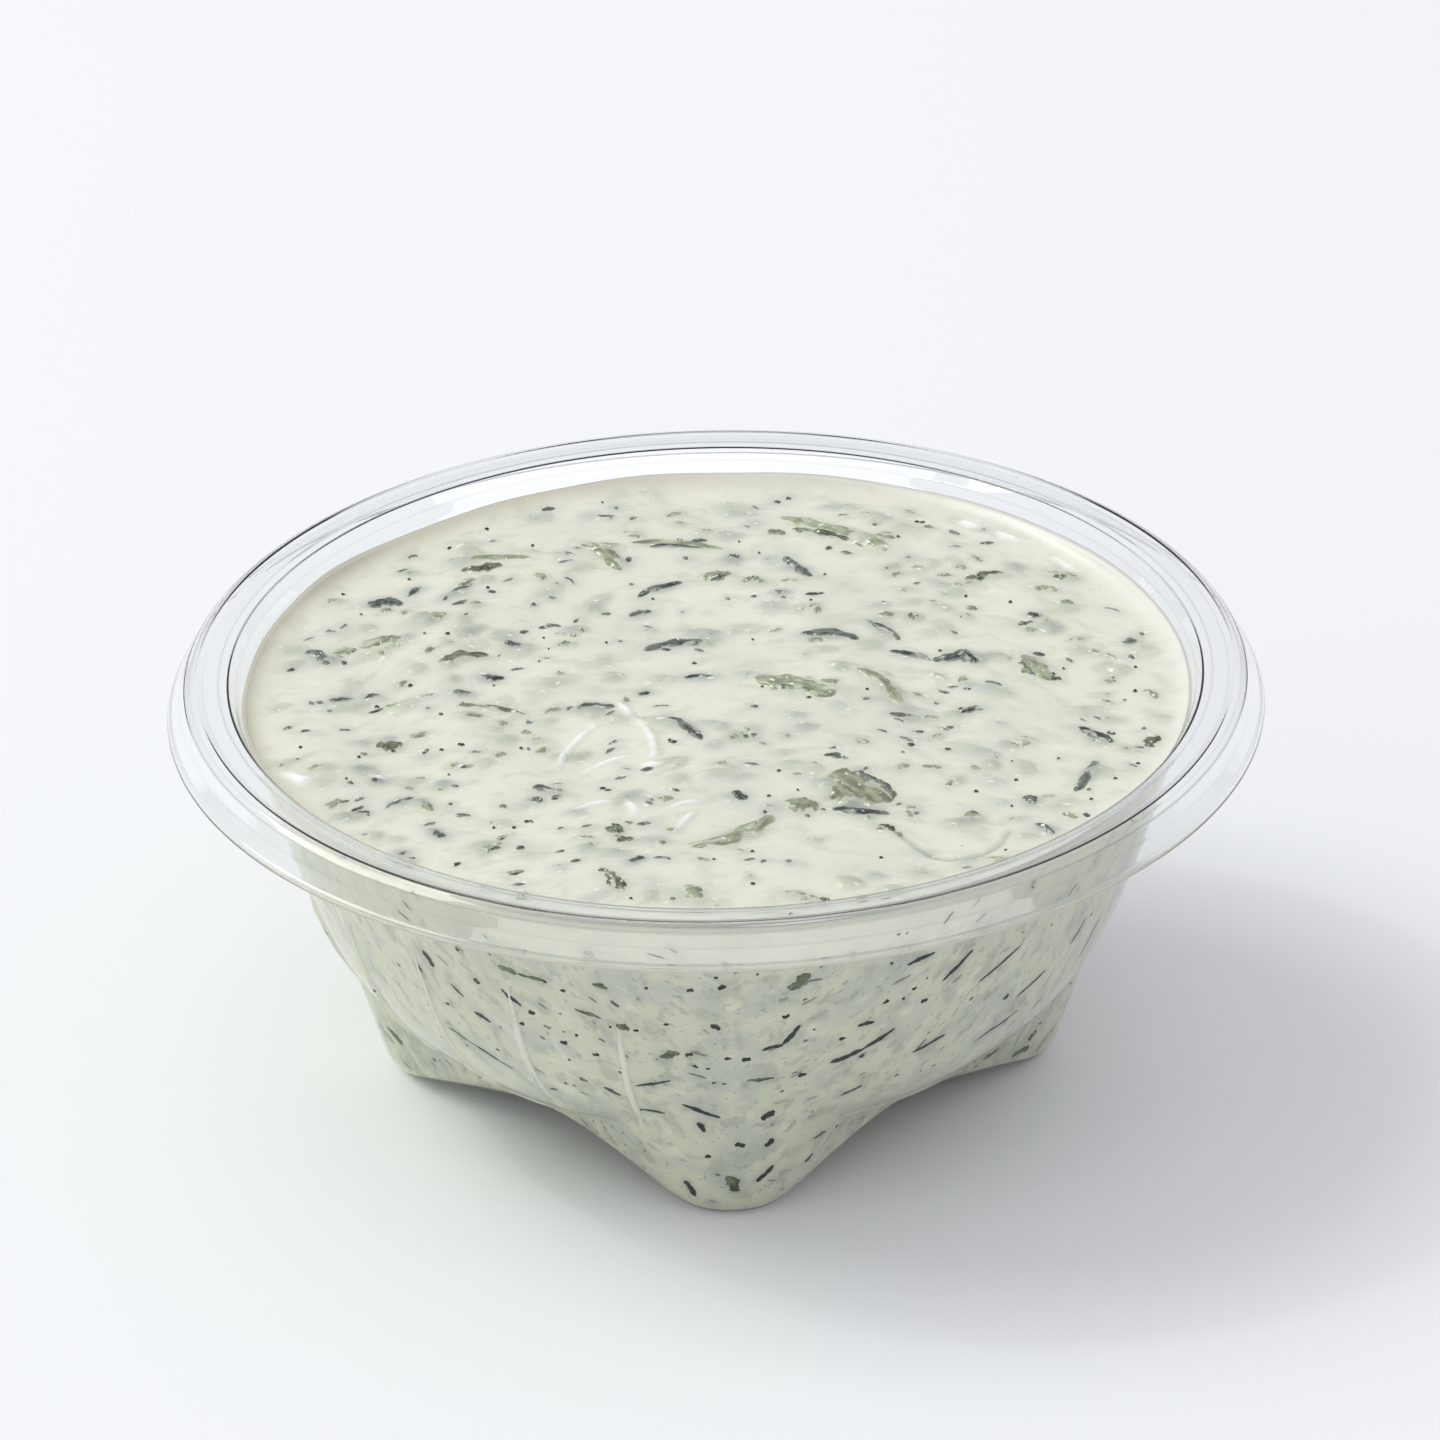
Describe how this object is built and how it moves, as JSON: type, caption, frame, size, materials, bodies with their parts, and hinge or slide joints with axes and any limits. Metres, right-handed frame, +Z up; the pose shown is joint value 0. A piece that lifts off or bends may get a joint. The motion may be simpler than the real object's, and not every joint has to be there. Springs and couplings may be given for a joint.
{
  "type": "tub of tzatziki dip",
  "caption": "Tzatziki dip with shredded cucumber and herbs in a clear round tub with a turned-down rim and a square base on corner feet.",
  "frame": {"origin": "centre of the tub's footprint, on the surface that it stands on", "axes": "+Z up along the tub's axis; X and Y square to the base's sides, so the feet lie on the diagonals"},
  "size_m": [0.118, 0.118, 0.0473],
  "materials": {
    "clear_plastic": "clear glossy thin thermoformed sheet",
    "tzatziki": "moist cream with a soft gloss"
  },
  "bodies": {
    "root": {"tub": "clear_plastic", "tzatziki": "tzatziki"}
  },
  "joints": []
}
